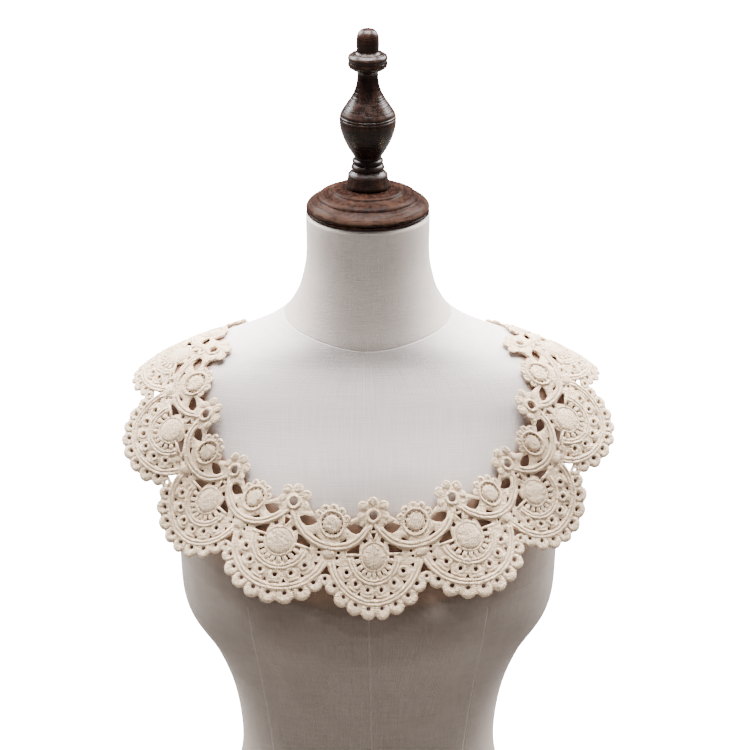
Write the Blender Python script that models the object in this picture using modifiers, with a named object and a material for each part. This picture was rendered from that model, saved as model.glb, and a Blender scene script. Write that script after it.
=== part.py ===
"""Lace collar worn on a limbless dress form.

The form is a linen-covered torso that ends flat below the hips, with a turned wooden neck cap and
finial. The collar is one ring of heavy embroidered lace: fourteen medallions with a flower over each
and a rose between them. It is drawn flat, as it is cut, and then worn on the form's shoulders.

The origin is on the flat underside, below the finial's axis. +Z is up and the front faces -Y.
Lengths are in millimetres until place_object() scales them to metres.
"""

import math
from collections import namedtuple

import bmesh
import bpy
import numpy as np
from mathutils import Vector
from mathutils.bvhtree import BVHTree
from mathutils.geometry import delaunay_2d_cdt

MM = 0.001
SEAM = 0.3

# Dress form: horizontal sections from the flat underside to the top of the neck
Section = namedtuple("Section", "height half_width front back corner")
FORM_SECTIONS = (
    Section(0, 160, 104, 120, 2.2),
    Section(60, 158, 104, 120, 2.2),
    Section(120, 130, 92, 98, 2.2),
    Section(180, 113, 83, 81, 2.1),
    Section(215, 115, 85, 80, 2.1),
    Section(250, 123, 92, 85, 2.1),
    Section(280, 136, 99, 90, 2.1),
    Section(315, 158, 107, 98, 2.2),
    Section(370, 166, 112, 104, 2.3),
    Section(420, 166, 106, 106, 2.4),
    Section(470, 171, 92, 100, 2.5),
    Section(510, 178, 75, 88, 2.5),
    Section(535, 180, 65, 77, 2.4),
    Section(550, 168, 59, 69, 2.3),
    Section(560, 145, 56, 65, 2.2),
    Section(570, 118, 55, 62, 2.1),
    Section(580, 93, 55, 60, 2.0),
    Section(592, 74, 54, 58, 2.0),
    Section(608, 62, 53, 55, 2.0),
    Section(630, 55, 52, 53, 2.0),
    Section(682, 53, 52, 53, 2.0),
)
FORM_LEVELS = (
    0, 30, 60, 90, 120, 150, 180, 205, 230, 255, 280, 300, 320, 340, 360, 380, 400, 425, 450, 472, 492, 510,
    524, 535, 543, 550, 556, 562, 568, 574, 580, 587, 596, 608, 625, 650, 682,
)
FORM_SIDES = 40
BUST_APEX_SIDE = 80
BUST_APEX_HEIGHT = 356
BUST_PROUD = 25
BUST_SIDE_SPREAD = 46
BUST_UPPER_SPREAD = 78
BUST_LOWER_SPREAD = 48

# Turned wood: the cap's and the finial's profiles, top to bottom, as radius and height
Turning = namedtuple("Turning", "radius height")
CAP_UNDERSIDE = 682 + SEAM
CAP_TOP = 705
CAP_PROFILE = (
    Turning(0, CAP_TOP), Turning(30, CAP_TOP - 1.5), Turning(31.5, CAP_TOP - 3.2),
    Turning(42, CAP_TOP - 7.5), Turning(43.5, CAP_TOP - 9.5), Turning(50, CAP_TOP - 14),
    Turning(52.5, CAP_TOP - 16), Turning(52.9, CAP_TOP - 18), Turning(52.0, CAP_TOP - 19.5),
    Turning(52.9, CAP_TOP - 21), Turning(51.5, CAP_UNDERSIDE), Turning(0, CAP_UNDERSIDE),
)
FINIAL_FOOT = CAP_TOP + SEAM
FINIAL_PROFILE = (
    Turning(0, 845.5), Turning(5.6, 844.8), Turning(8.6, 841.4), Turning(9.7, 835), Turning(9.6, 825.5),
    Turning(14.6, 823), Turning(17, 819.8), Turning(16.1, 817), Turning(17, 814), Turning(14.6, 810.5),
    Turning(9, 807), Turning(9.2, 801), Turning(10.6, 793), Turning(14, 785), Turning(19.2, 777.5),
    Turning(23.2, 770), Turning(24.3, 767.8), Turning(23.6, 766), Turning(24.3, 764), Turning(23.2, 757),
    Turning(20.6, 747), Turning(16, 738.5), Turning(11.6, 731), Turning(13.2, 728), Turning(12, 725),
    Turning(14.2, 722.5), Turning(13.2, 719.5), Turning(17, 715), Turning(18.5, 709),
    Turning(18.5, FINIAL_FOOT), Turning(0, FINIAL_FOOT),
)
TURNED_SIDES = 28

# The collar as it is cut: a flat ring sector whose medallions lie on one circle
REPEATS = 14
FRONT_REPEATS = 9
PITCH_ANGLE = 0.37
MEDALLION_CIRCLE = 225
NECK_EDGE_RISE = 51.8
HEM_REACH = 54.9
LACE_WALL = 1.6
REST_GAP = 1.5

# One repeat: sizes from its medallion's centre, rises towards the neckline
DISC_RADIUS = 10.5
DISC_PROUD = 1.8
CORD_RINGS = (23.5, 41.0)
CORD_PROUD = 0.9
CORD_SPAN_DEG = 100
FLOWER_RISE = 35.5
FLOWER_RADIUS = 16.3
FLOWER_NOTCH = 13.8
FLOWER_EYE = 3.7
ROSE_RISE = 25.4
ROSE_RADIUS = 16.8
ROSE_NOTCH = 15.3
ROSE_PAD = 7.4
ROSE_PROUD = 1.7
KNOT_PROUD = 1.3
SIDE_NOTCH = (19.6, 31.0)
SCALLOP_DEG = 16.6
SCALLOP_NOTCH = 50.3
SCALLOP_SHOULDER = 52.9
VALLEY_DROP = 28.3
EYELET_CIRCLE = 29.0
EYELET_RADIUS = 2.2
EYELET_ANGLES = (-67.5, -40.5, -13.5, 13.5, 40.5, 67.5)
GAP_DROP_TOP = 11.5
GAP_DROP_BASE = 20.5
GAP_HALF_BASE = 4.7
CROWN_GAP = ((-3.0, 21.6), (3.0, 21.6), (0.0, 15.2))
TEMPLE_GAP = ((5.6, 13.0), (8.6, 12.2), (10.6, 16.4), (7.0, 17.2))
WING_GAP = ((12.4, 5.4), (24.0, 5.6), (24.8, 10.4), (13.4, 11.0))
LEAF_GAP = ((9.4, 24.6), (13.6, 28.2), (19.6, 28.2), (24.0, 24.6), (19.0, 21.6), (13.4, 21.6))

# How the collar is worn: one row for each repeat from the front centre round to the back centre.
# The neckline's point, the way the lace runs down from it (0 is to the front, 90 to the side) with
# its turn by the hem, and its slope below the horizontal at the neckline and at the hem.
Station = namedtuple("Station", "side forward height heading turn slope hem_slope")
WORN_STATIONS = (
    Station(0, 99, 459, 0, 0, 77, 70),
    Station(61.5, 94.5, 471, 47, 11, 60, 62),
    Station(106, 76, 490, 81, 18, 49, 52),
    Station(125, 59, 530, 95, 30, 30, 24),
    Station(116, 27, 568, 107, 27, 6, 38),
    Station(104, -39, 564, 128, 28, 27, 54),
    Station(68, -81, 529, 131, 5, 66, 84),
    Station(0, -85, 521, 180, 0, 65, 65),
)
# How far the collar has slipped round to the form's left, in repeats
SLIPPED_ROUND = 0.07
SEAM_CUTS = 9
GRID_PER_REPEAT = 12
GRID_DOWN = 24
SMOOTHING_ROUNDS = 6


def table_curve(knots, rows, at):
    """Rows of a table joined by smooth cubic pieces, read at the given knots."""
    knots = np.asarray(knots, float)
    rows = np.asarray(rows, float)
    at = np.asarray(at, float)
    slopes = np.gradient(rows, knots, axis=0)
    i = np.clip(np.searchsorted(knots, at, side="right") - 1, 0, len(knots) - 2)
    gap = (knots[i + 1] - knots[i])[:, None]
    t = (at - knots[i])[:, None] / gap
    start = (1 + 2 * t) * (1 - t) ** 2 * rows[i] + t * (1 - t) ** 2 * gap * slopes[i]
    end = t * t * (3 - 2 * t) * rows[i + 1] + t * t * (t - 1) * gap * slopes[i + 1]
    return start + end


def material(name, colour, roughness, metallic=0.0):
    made = bpy.data.materials.new(name)
    made.use_nodes = True
    shader = made.node_tree.nodes["Principled BSDF"]
    shader.inputs["Base Color"].default_value = (*colour, 1.0)
    shader.inputs["Roughness"].default_value = roughness
    shader.inputs["Metallic"].default_value = metallic
    return made


def place_object(name, bm, finish, collection):
    """Makes the object of a node from its mesh in millimetres."""
    bmesh.ops.scale(bm, vec=Vector((MM, MM, MM)), verts=bm.verts)
    mesh = bpy.data.meshes.new(name)
    bm.to_mesh(mesh)
    bm.free()
    mesh.materials.append(finish)
    mesh.shade_smooth()
    obj = bpy.data.objects.new(name, mesh)
    collection.objects.link(obj)
    return obj


def bust_rise(x, height):
    """How far the bust stands forward of the plain section."""
    spread = np.where(height > BUST_APEX_HEIGHT, BUST_UPPER_SPREAD, BUST_LOWER_SPREAD)
    across = (np.abs(x) - BUST_APEX_SIDE) / BUST_SIDE_SPREAD
    up = (height - BUST_APEX_HEIGHT) / spread
    return BUST_PROUD * np.exp(-across**2 - up**2)


def dress_form_mesh():
    """A cylinder with loop cuts, each ring shaped to the form's section at its level."""
    bm = bmesh.new()
    bmesh.ops.create_cone(bm, cap_ends=True, segments=FORM_SIDES, radius1=1, radius2=1, depth=1)
    upright = [e for e in bm.edges if abs(e.verts[0].co.z - e.verts[1].co.z) > 0.5]
    bmesh.ops.subdivide_edges(bm, edges=upright, cuts=len(FORM_LEVELS) - 2)
    heights = [section.height for section in FORM_SECTIONS]
    levels = table_curve(heights, [section[1:] for section in FORM_SECTIONS], FORM_LEVELS)
    for vert in bm.verts:
        level = round((vert.co.z + 0.5) * (len(FORM_LEVELS) - 1))
        half_width, front, back, corner = levels[level]
        turn = math.atan2(vert.co.y, vert.co.x)
        cos, sin = math.cos(turn), math.sin(turn)
        depth = back if sin > 0 else front
        x = half_width * math.copysign(abs(cos) ** (2 / corner), cos)
        y = depth * math.copysign(abs(sin) ** (2 / corner), sin)
        if sin < 0:
            y -= bust_rise(x, FORM_LEVELS[level]) * abs(sin)
        vert.co = Vector((x, y, FORM_LEVELS[level]))
    bm.normal_update()
    return bm


def turned(name, profile, finish, collection):
    """A turned piece: its profile with a Screw modifier round the form's axis."""
    bm = bmesh.new()
    points = [bm.verts.new((radius, 0, height)) for radius, height in profile]
    for above, below in zip(points, points[1:]):
        bm.edges.new((above, below))
    obj = place_object(name, bm, finish, collection)
    screw = obj.modifiers.new("Turned", "SCREW")
    screw.steps = TURNED_SIDES
    screw.render_steps = TURNED_SIDES
    screw.use_merge_vertices = True
    screw.merge_threshold = 0.00005
    screw.use_smooth_shade = True
    return obj


def worn_surface(form_tree):
    """The lace's inner face as a grid of points: round the ring, then down from the neckline."""
    half = REPEATS // 2
    rows = [list(station) for station in WORN_STATIONS]
    mirrored = [[-r[0], r[1], r[2], -r[3], -r[4], r[5], r[6]] for r in rows]
    beyond = [[r[0], r[1], r[2], 360 + r[3], r[4], r[5], r[6]] for r in mirrored[half - 1:half - 4:-1]]
    before = [mirrored[k] for k in (3, 2, 1)]
    knots = range(-3, half + 4)
    at = np.arange(half * GRID_PER_REPEAT + 1) / GRID_PER_REPEAT
    table = table_curve(knots, before + rows + beyond, at)
    neck = np.stack([table[:, 0], -table[:, 1], table[:, 2]], axis=1)
    share = (np.arange(GRID_DOWN) + 0.5) / GRID_DOWN
    heading = np.radians(table[:, 3, None] + table[:, 4, None] * share)
    slope = np.radians(table[:, 5, None] + (table[:, 6, None] - table[:, 5, None]) * share)
    step = (NECK_EDGE_RISE + HEM_REACH) / GRID_DOWN
    steps = step * np.stack(
        [np.sin(heading) * np.cos(slope), -np.cos(heading) * np.cos(slope), -np.sin(slope)], axis=2)
    side = np.concatenate([neck[:, None], neck[:, None] + np.cumsum(steps, axis=1)], axis=1)
    other = side[-2:0:-1] * np.array([-1, 1, 1])
    grid = np.concatenate([side, other])
    return settle(grid, form_tree)


def settle(grid, form_tree):
    """Moves the grid off the form wherever it is too close, and evens it out."""
    for _ in range(SMOOTHING_ROUNDS):
        around = (np.roll(grid, 1, axis=0) + np.roll(grid, -1, axis=0)) / 2
        down = grid.copy()
        down[:, 1:-1] = (grid[:, 2:] + grid[:, :-2]) / 2
        grid = grid * 0.5 + around * 0.25 + down * 0.25
        for ring in grid:
            for point in ring:
                spot, normal, _, _ = form_tree.find_nearest(Vector(point))
                height = (Vector(point) - spot).dot(normal)
                if height < REST_GAP:
                    point[:] = spot + normal * REST_GAP
    return (grid + np.roll(grid[::-1], 1, axis=0) * np.array([-1, 1, 1])) / 2


def wear(flat, grid):
    """Puts flat lace points on the worn surface: x and y are in the cut, z above its inner face."""
    flat = np.asarray(flat, float)
    turns = np.arctan2(flat[:, 0], -flat[:, 1])
    turns[turns < -(FRONT_REPEATS + 1) / 2 * PITCH_ANGLE] += 2 * math.pi
    turns = (turns / PITCH_ANGLE + SLIPPED_ROUND) * GRID_PER_REPEAT
    drop = np.hypot(flat[:, 0], flat[:, 1]) - (MEDALLION_CIRCLE - NECK_EDGE_RISE)
    downs = np.clip(drop / (NECK_EDGE_RISE + HEM_REACH), 0, 1) * GRID_DOWN
    i = np.floor(turns).astype(int)
    j = np.minimum(downs.astype(int), GRID_DOWN - 1)
    u, v = (turns - i)[:, None], (downs - j)[:, None]
    round_ring = len(grid)
    across = np.roll(grid, -1, axis=0) - np.roll(grid, 1, axis=0)
    normals = np.cross(np.gradient(grid, axis=1), across)
    normals /= np.linalg.norm(normals, axis=2, keepdims=True)
    corners = ((0, 0, (1 - u) * (1 - v)), (1, 0, u * (1 - v)), (0, 1, (1 - u) * v), (1, 1, u * v))
    point, normal = 0, 0
    for di, dj, weight in corners:
        point = point + weight * grid[(i + di) % round_ring, j + dj]
        normal = normal + weight * normals[(i + di) % round_ring, j + dj]
    normal /= np.linalg.norm(normal, axis=1, keepdims=True)
    return point + normal * flat[:, 2:3]


def cut_point(repeat, x, y):
    """A point of one repeat, from its medallion's centre, as a point of the whole flat cut."""
    turn = repeat * PITCH_ANGLE + math.atan2(x, MEDALLION_CIRCLE - y)
    reach = math.hypot(x, MEDALLION_CIRCLE - y)
    return (reach * math.sin(turn), -reach * math.cos(turn))


def edge_point(repeat, side, rise, short=0.0):
    """A point on the line between a repeat and its neighbour, or short of it by some millimetres."""
    return cut_point(repeat + side / 2, -side * short, rise)


def around(centre, radius, degrees):
    """A point round a centre; 0 degrees is towards the hem and 90 to the side."""
    turn = math.radians(degrees)
    return (centre[0] + radius * math.sin(turn), centre[1] - radius * math.cos(turn))


def hem_points(repeat):
    """The scalloped hem of one repeat, from its left edge to its right, without that last point."""
    half = []
    for scallop in range(4):
        start = scallop * SCALLOP_DEG
        half.append((start, SCALLOP_NOTCH))
        half.append((start + SCALLOP_DEG * 0.2, SCALLOP_SHOULDER))
        half.append((start + SCALLOP_DEG * 0.5, HEM_REACH))
        if scallop < 3:
            half.append((start + SCALLOP_DEG * 0.8, SCALLOP_SHOULDER))
    left = [(-angle, reach) for angle, reach in half[:0:-1]]
    bow = [cut_point(repeat, *around((0, 0), reach, angle)) for angle, reach in left + half]
    return [edge_point(repeat, -1, -VALLEY_DROP)] + bow


def neck_points(repeat):
    """The neckline of one repeat, from its right edge to its left, without that last point."""
    rose = [(180, ROSE_RADIUS), (162, ROSE_NOTCH), (142, ROSE_RADIUS), (124, ROSE_NOTCH), (106, ROSE_RADIUS)]
    flower = [(90, FLOWER_NOTCH), (108, FLOWER_RADIUS), (132, FLOWER_RADIUS), (150, FLOWER_NOTCH),
              (168, FLOWER_RADIUS)]
    top = (0, FLOWER_RISE)
    right = [cut_point(repeat + 0.5, *around((0, ROSE_RISE), reach, -angle)) for angle, reach in rose]
    right.append(cut_point(repeat, *SIDE_NOTCH))
    right += [cut_point(repeat, *around(top, reach, angle)) for angle, reach in flower]
    left = [cut_point(repeat, *around(top, reach, -angle)) for angle, reach in flower[::-1]]
    left.append(cut_point(repeat, -SIDE_NOTCH[0], SIDE_NOTCH[1]))
    left += [cut_point(repeat - 0.5, *around((0, ROSE_RISE), reach, angle)) for angle, reach in rose[:0:-1]]
    return right + left


def seam_points(repeat, side):
    """The straight edge where the ring is parted, from the neckline down to the hem."""
    top = ROSE_RISE + ROSE_RADIUS
    step = (top + VALLEY_DROP) / SEAM_CUTS
    return [edge_point(repeat, side, top - i * step, SEAM * 0.6) for i in range(SEAM_CUTS + 1)]


def ring_of(centre, radius, sides, start=0.0):
    return [around(centre, radius, start + 360 * i / sides) for i in range(sides)]


def gap_loops(repeat, last):
    """The gaps cut through one repeat, with the one between it and the next repeat."""
    loops = [ring_of((0, FLOWER_RISE), FLOWER_EYE, 6), CROWN_GAP]
    for side in (-1, 1):
        for shape in (TEMPLE_GAP, WING_GAP, LEAF_GAP):
            loops.append([(side * x, y) for x, y in shape])
    for angle in EYELET_ANGLES:
        loops.append(ring_of(around((0, 0), EYELET_CIRCLE, angle), EYELET_RADIUS, 5, angle))
    cut = [[cut_point(repeat, *point) for point in loop] for loop in loops]
    if not last:
        cut.append([
            cut_point(repeat + 0.5, 0, -GAP_DROP_TOP),
            cut_point(repeat + 0.5, -GAP_HALF_BASE, -GAP_DROP_BASE),
            cut_point(repeat + 0.5, GAP_HALF_BASE, -GAP_DROP_BASE),
        ])
    return cut


def relief_points(repeat):
    """Inner points of one repeat with the height of its raised work above the plain wall."""
    points = [(cut_point(repeat, 0, 0), DISC_PROUD)]
    points += [(cut_point(repeat, *p), DISC_PROUD * 0.8) for p in ring_of((0, 0), DISC_RADIUS * 0.75, 7)]
    points += [(cut_point(repeat, *p), 0) for p in ring_of((0, 0), DISC_RADIUS + 1.2, 7, 26)]
    for reach, count in zip(CORD_RINGS, (6, 8)):
        for i in range(count + 1):
            angle = CORD_SPAN_DEG * (2 * i / count - 1) * 0.85
            points.append((cut_point(repeat, *around((0, 0), reach, angle)), CORD_PROUD))
    for side in (-1, 1):
        points.append((edge_point(repeat, side, ROSE_RISE, 1.2), ROSE_PROUD))
        points.append((edge_point(repeat, side, 0, 1.2), KNOT_PROUD))
        for angle in (30, 90, 150):
            across, rise = around((0, ROSE_RISE), ROSE_PAD, angle)
            points.append((edge_point(repeat, side, rise, across), ROSE_PROUD * 0.7))
    return points


def inside(loop, point):
    """Whether a flat point lies inside a closed loop."""
    x, y = point
    crossed = False
    for (x0, y0), (x1, y1) in zip(loop, loop[1:] + loop[:1]):
        if (y0 > y) != (y1 > y) and x < (x1 - x0) * (y - y0) / (y1 - y0) + x0:
            crossed = not crossed
    return crossed


def lace(name, first, last, grid, finish, collection):
    """The lace of repeats first to last: the flat cut with its gaps, walled, raised and worn."""
    repeats = range(first, last + 1)
    hem = [p for k in repeats for p in hem_points(k)][1:]
    neckline = [p for k in reversed(repeats) for p in neck_points(k)][1:]
    outline = seam_points(first, -1) + hem + seam_points(last, 1)[::-1] + neckline
    gaps = [[tuple(p) for p in loop] for k in repeats for loop in gap_loops(k, k == last)]
    raised = [row for k in repeats for row in relief_points(k)]
    points, edges = [], []
    for loop in [outline] + gaps:
        begin = len(points)
        points += loop
        edges += [(begin + i, begin + (i + 1) % len(loop)) for i in range(len(loop))]
    points += [point for point, _ in raised]
    made, _, faces, _, _, _ = delaunay_2d_cdt([Vector(p) for p in points], edges, [], 1, 1e-4)
    bm = bmesh.new()
    corners = [bm.verts.new((p.x, p.y, 0)) for p in made]
    for face in faces:
        middle = sum((made[i] for i in face), Vector((0, 0))) / len(face)
        if not any(inside(gap, middle) for gap in gaps):
            bm.faces.new([corners[i] for i in face])
    bmesh.ops.delete(bm, geom=[v for v in bm.verts if not v.link_faces], context="VERTS")
    bmesh.ops.recalc_face_normals(bm, faces=bm.faces)
    if bm.faces[:][0].normal.z > 0:
        bmesh.ops.reverse_faces(bm, faces=bm.faces)
    bmesh.ops.solidify(bm, geom=bm.faces[:], thickness=LACE_WALL)
    heights = {(round(p[0], 2), round(p[1], 2)): proud for p, proud in raised}
    upper = max(v.co.z for v in bm.verts)
    lower = min(v.co.z for v in bm.verts)
    flat = []
    for vert in bm.verts:
        top = vert.co.z > (upper + lower) / 2
        proud = heights.get((round(vert.co.x, 2), round(vert.co.y, 2)), 0) if top else 0
        flat.append((vert.co.x, vert.co.y, (LACE_WALL if top else 0) + proud))
    bmesh.ops.recalc_face_normals(bm, faces=bm.faces)
    for vert, place in zip(bm.verts, wear(flat, grid)):
        vert.co = Vector(place)
    return place_object(name, bm, finish, collection)


def main():
    for obj in list(bpy.data.objects):
        bpy.data.objects.remove(obj)
    collection = bpy.data.collections.new("Lace collar on dress form")
    bpy.context.scene.collection.children.link(collection)
    linen = material("linen", (0.62, 0.59, 0.56), 0.9)
    wood = material("dark wood", (0.09, 0.04, 0.025), 0.3)
    cotton = material("lace cotton", (0.78, 0.66, 0.54), 0.85)

    form = dress_form_mesh()
    form_tree = BVHTree.FromBMesh(form)
    grid = worn_surface(form_tree)
    place_object("dress_form", form, linen, collection)
    turned("neck_cap", CAP_PROFILE, wood, collection)
    turned("finial", FINIAL_PROFILE, wood, collection)

    reach = FRONT_REPEATS // 2
    lace("collar_front", -reach, reach, grid, cotton, collection)
    lace("collar_back", reach + 1, REPEATS - reach - 1, grid, cotton, collection)


main()
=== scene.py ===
"""Lace collar worn on a limbless dress form: the looks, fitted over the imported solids.

The collar is stitched flat, one repeat at a time, and then worn: each point of the flat cut is put on
the surface that the neckline's stations describe. Flat lengths are in millimetres, with x across a
repeat, y towards the neckline and z out of the cloth. The finished pieces are in metres.
"""

import functools
import math
from collections import namedtuple

import bmesh
import bpy
import numpy as np
from bpy.props import FloatProperty, FloatVectorProperty, IntProperty, PointerProperty
from mathutils import Matrix, Vector, noise
from mathutils.bvhtree import BVHTree


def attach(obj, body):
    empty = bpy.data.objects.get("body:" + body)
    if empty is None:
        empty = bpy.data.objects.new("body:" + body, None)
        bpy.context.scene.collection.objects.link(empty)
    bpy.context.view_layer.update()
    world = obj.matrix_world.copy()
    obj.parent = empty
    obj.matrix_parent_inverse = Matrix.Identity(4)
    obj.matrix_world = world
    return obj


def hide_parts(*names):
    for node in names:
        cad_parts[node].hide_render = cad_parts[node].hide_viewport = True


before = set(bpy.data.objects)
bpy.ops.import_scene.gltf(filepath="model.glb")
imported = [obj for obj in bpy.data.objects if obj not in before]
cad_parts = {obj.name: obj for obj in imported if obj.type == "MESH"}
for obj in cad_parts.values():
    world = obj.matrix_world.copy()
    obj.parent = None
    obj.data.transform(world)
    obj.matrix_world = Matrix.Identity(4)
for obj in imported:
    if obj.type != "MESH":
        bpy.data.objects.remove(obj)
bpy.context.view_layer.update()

bl_info = {
    "name": "Lace collar on a dress form",
    "version": (1, 0, 0),
    "blender": (4, 5, 0),
    "location": "View3D > Sidebar > Lace collar",
    "description": "Builds a ring of raised embroidered lace on a linen dress form",
    "category": "Object",
}

MM = 0.001

def rows(kind, *numbers):
    """A table's rows, with its columns named."""
    return [kind(*row) for row in numbers]


# The dress form's horizontal sections, from the flat underside to the top of the neck
Section = namedtuple("Section", "height half_width front back corner")
FORM_SECTIONS = rows(Section,
    (0, 160, 104, 120, 2.2), (60, 158, 104, 120, 2.2), (120, 130, 92, 98, 2.2), (180, 113, 83, 81, 2.1),
    (215, 115, 85, 80, 2.1), (250, 123, 92, 85, 2.1), (280, 136, 99, 90, 2.1), (315, 158, 107, 98, 2.2),
    (370, 166, 112, 104, 2.3), (420, 166, 106, 106, 2.4), (470, 171, 92, 100, 2.5),
    (510, 178, 75, 88, 2.5), (535, 180, 65, 77, 2.4), (550, 168, 59, 69, 2.3), (560, 145, 56, 65, 2.2),
    (570, 118, 55, 62, 2.1), (580, 93, 55, 60, 2.0), (592, 74, 54, 58, 2.0), (608, 62, 53, 55, 2.0),
    (630, 55, 52, 53, 2.0), (682, 53, 52, 53, 2.0),
)
BUST_APEX_SIDE = 80
BUST_APEX_HEIGHT = 356
BUST_PROUD = 25
BUST_SIDE_SPREAD = 46
BUST_UPPER_SPREAD = 78
BUST_LOWER_SPREAD = 48

# The form's seams, in metres. The side seams fade out between the two heights of their top.
NECK_SEAM_HEIGHT = 0.601
NECK_SEAM_DIP = 0.026
NECK_SEAM_ROUNDNESS = 1.3
CENTRE_SEAM_HEIGHT = 0.4
CENTRE_SEAM_LEAN = 0.018
SIDE_SEAM_HEIGHT = 0.23
SIDE_SEAM_PLACE = 0.088
SIDE_SEAM_LEAN = 0.12
SIDE_SEAM_TOP = (0.42, 0.36)

# Turned wood, top to bottom. Worn is how far the varnish is rubbed off there, from 0 to 1.
Turning = namedtuple("Turning", "radius height worn")
CAP_PROFILE = rows(Turning,
    (0, 705, 0), (18, 704.6, 0), (28.5, 703.9, 0.1), (30.2, 703.2, 0.5), (30.9, 701.7, 0.0),
    (32.2, 701.1, 0.4), (37, 699.8, 0.1), (41.4, 698.3, 0.4), (42.4, 697.2, 0.5), (43, 695.6, 0.0),
    (44.6, 694.9, 0.4), (48, 693.2, 0.3), (50.8, 691.2, 0.7), (52.4, 689.2, 1.0), (52.9, 687.4, 0.7),
    (52.5, 686.0, 0.1), (51.7, 685.4, 0.0), (52.5, 684.9, 0.1), (52.8, 683.9, 0.3), (51.6, 682.7, 0.1),
    (50.6, 682.4, 0), (0, 682.4, 0),
)
FINIAL_PROFILE = rows(Turning,
    (0, 845.5, 0.0), (3.4, 845.2, 0.0), (6.3, 844.1, 0.1), (8.3, 841.8, 0.2), (9.4, 838.6, 0.1),
    (9.7, 834.0, 0.1), (9.7, 829.5, 0.1), (9.4, 826.4, 0.0), (10.6, 824.6, 0.0), (14.0, 823.4, 0.1),
    (16.3, 821.8, 0.3), (17.0, 820.0, 0.3), (16.6, 818.2, 0.1), (16.1, 817.0, 0.0), (16.7, 815.8, 0.1),
    (17.0, 814.2, 0.2), (16.0, 812.0, 0.2), (13.4, 810.2, 0.1), (10.0, 808.7, 0.0), (8.9, 806.8, 0.0),
    (9.0, 802.5, 0.0), (9.5, 798.0, 0.0), (10.5, 793.5, 0.0), (12.2, 789.0, 0.0), (14.8, 784.2, 0.1),
    (18.4, 778.8, 0.1), (21.8, 773.6, 0.2), (23.5, 770.4, 0.5), (23.0, 769.3, 0.0), (24.0, 768.4, 0.5),
    (23.4, 767.3, 0.0), (24.3, 766.2, 0.5), (23.9, 764.9, 0.1), (24.2, 763.0, 0.3), (23.6, 758.6, 0.1),
    (22.2, 753.2, 0.1), (20.0, 747.4, 0.1), (16.8, 741.0, 0.1), (13.6, 735.8, 0.0), (11.6, 732.6, 0.0),
    (11.6, 730.9, 0.0), (13.2, 729.6, 0.4), (13.3, 727.8, 0.4), (12.0, 726.4, 0.0), (13.6, 725.0, 0.4),
    (14.4, 722.8, 0.5), (13.3, 720.8, 0.0), (14.6, 719.3, 0.1), (17.0, 716.8, 0.6), (17.1, 714.6, 0.4),
    (17.6, 711.6, 0.1), (18.5, 708.2, 0.3), (18.5, 705.4, 0.1), (0, 705.3, 0),
)

# The collar as it is cut and as it is worn, the same as in the solids
REPEATS = 14
FRONT_REPEATS = 9
PITCH_ANGLE = 0.37
MEDALLION_CIRCLE = 225
NECK_EDGE_RISE = 51.8
HEM_REACH = 54.9
REST_GAP = 1.5
Station = namedtuple("Station", "side forward height heading turn slope hem_slope")
WORN_STATIONS = rows(Station,
    (0, 99, 459, 0, 0, 77, 70), (61.5, 94.5, 471, 47, 11, 60, 62), (106, 76, 490, 81, 18, 49, 52),
    (125, 59, 530, 95, 30, 30, 24), (116, 27, 568, 107, 27, 6, 38), (104, -39, 564, 128, 28, 27, 54),
    (68, -81, 529, 131, 5, 66, 84), (0, -85, 521, 180, 0, 65, 65),
)
SLIPPED_ROUND = 0.07
GRID_PER_REPEAT = 12
GRID_DOWN = 24
SMOOTHING_ROUNDS = 6

# Flat places of the motifs. An angle of 0 points to the hem and 90 to the side.
FLOWER = (0, 35.5)
ROSE = (0, 25.4)
KNOT = (0, -0.6)
CUP = (0, 39.4)
Ring = namedtuple("Ring", "radius start end width height")
MEDALLION_RINGS = rows(Ring,
    (12.5, -180, 180, 2.0, 1.9), (21.0, -96, 96, 2.9, 2.0), (23.8, -94, 94, 3.0, 2.5),
    (38.7, -90, 90, 3.0, 2.2), (41.6, -88, 88, 3.3, 2.7),
)
CUP_RINGS = rows(Ring,
    (32.0, -72, 72, 3.3, 2.5), (35.0, -77, 77, 3.2, 2.9),
)
ROSE_RINGS = rows(Ring,
    (10.3, -180, 180, 2.2, 2.4),
)
Lobe = namedtuple("Lobe", "angle reach radius")
HEM_LOBES = rows(Lobe,
    (-57.2, 46.6, 6.6), (-41.5, 47.3, 7.4), (-24.9, 47.3, 7.5), (-8.3, 47.3, 7.5), (8.3, 47.3, 7.5),
    (24.9, 47.3, 7.5), (41.5, 47.3, 7.4), (57.2, 46.6, 6.6),
)
LOBE_HOLE = 1.7
LOBE_LEAN = 2.0
EYELET_CIRCLE = 29.4
EYELET_HOLE = 1.8
EYELET_ANGLES = (-64, -38.4, -12.8, 12.8, 38.4, 64)
SLIT_ANGLES = (-77, -51, -25.6, 0, 25.6, 51, 77)
SPOKE_GAP_ANGLES = (-88, -66, -46, -27, -9, 9, 27, 46, 66, 88)
Petal = namedtuple("Petal", "angle reach radius")
FLOWER_PETALS = rows(Petal,
    (180, 11.7, 4.8), (133, 12.2, 4.9), (-133, 12.2, 4.9), (90, 10.6, 3.9), (-90, 10.6, 3.9),
)
ROSE_PETALS = rows(Petal,
    (180, 13.8, 3.8), (150, 13.8, 3.8), (-150, 13.8, 3.8), (120, 13.4, 3.6), (-120, 13.4, 3.6),
)
Bar = namedtuple("Bar", "x0 y0 x1 y1 width")
MEDALLION_BARS = rows(Bar,
    (0.6, 12.6, 4.0, 21.6, 1.9), (-0.6, 12.6, -4.0, 21.6, 1.9), (-3.4, 21.7, 3.4, 21.7, 1.7),
    (3.6, 21.0, 1.2, 29.6, 1.9), (-3.6, 21.0, -1.2, 29.6, 1.9), (12.2, 1.9, 26.4, 1.9, 2.3),
    (-12.2, 1.9, -26.4, 1.9, 2.3),
)
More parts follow.
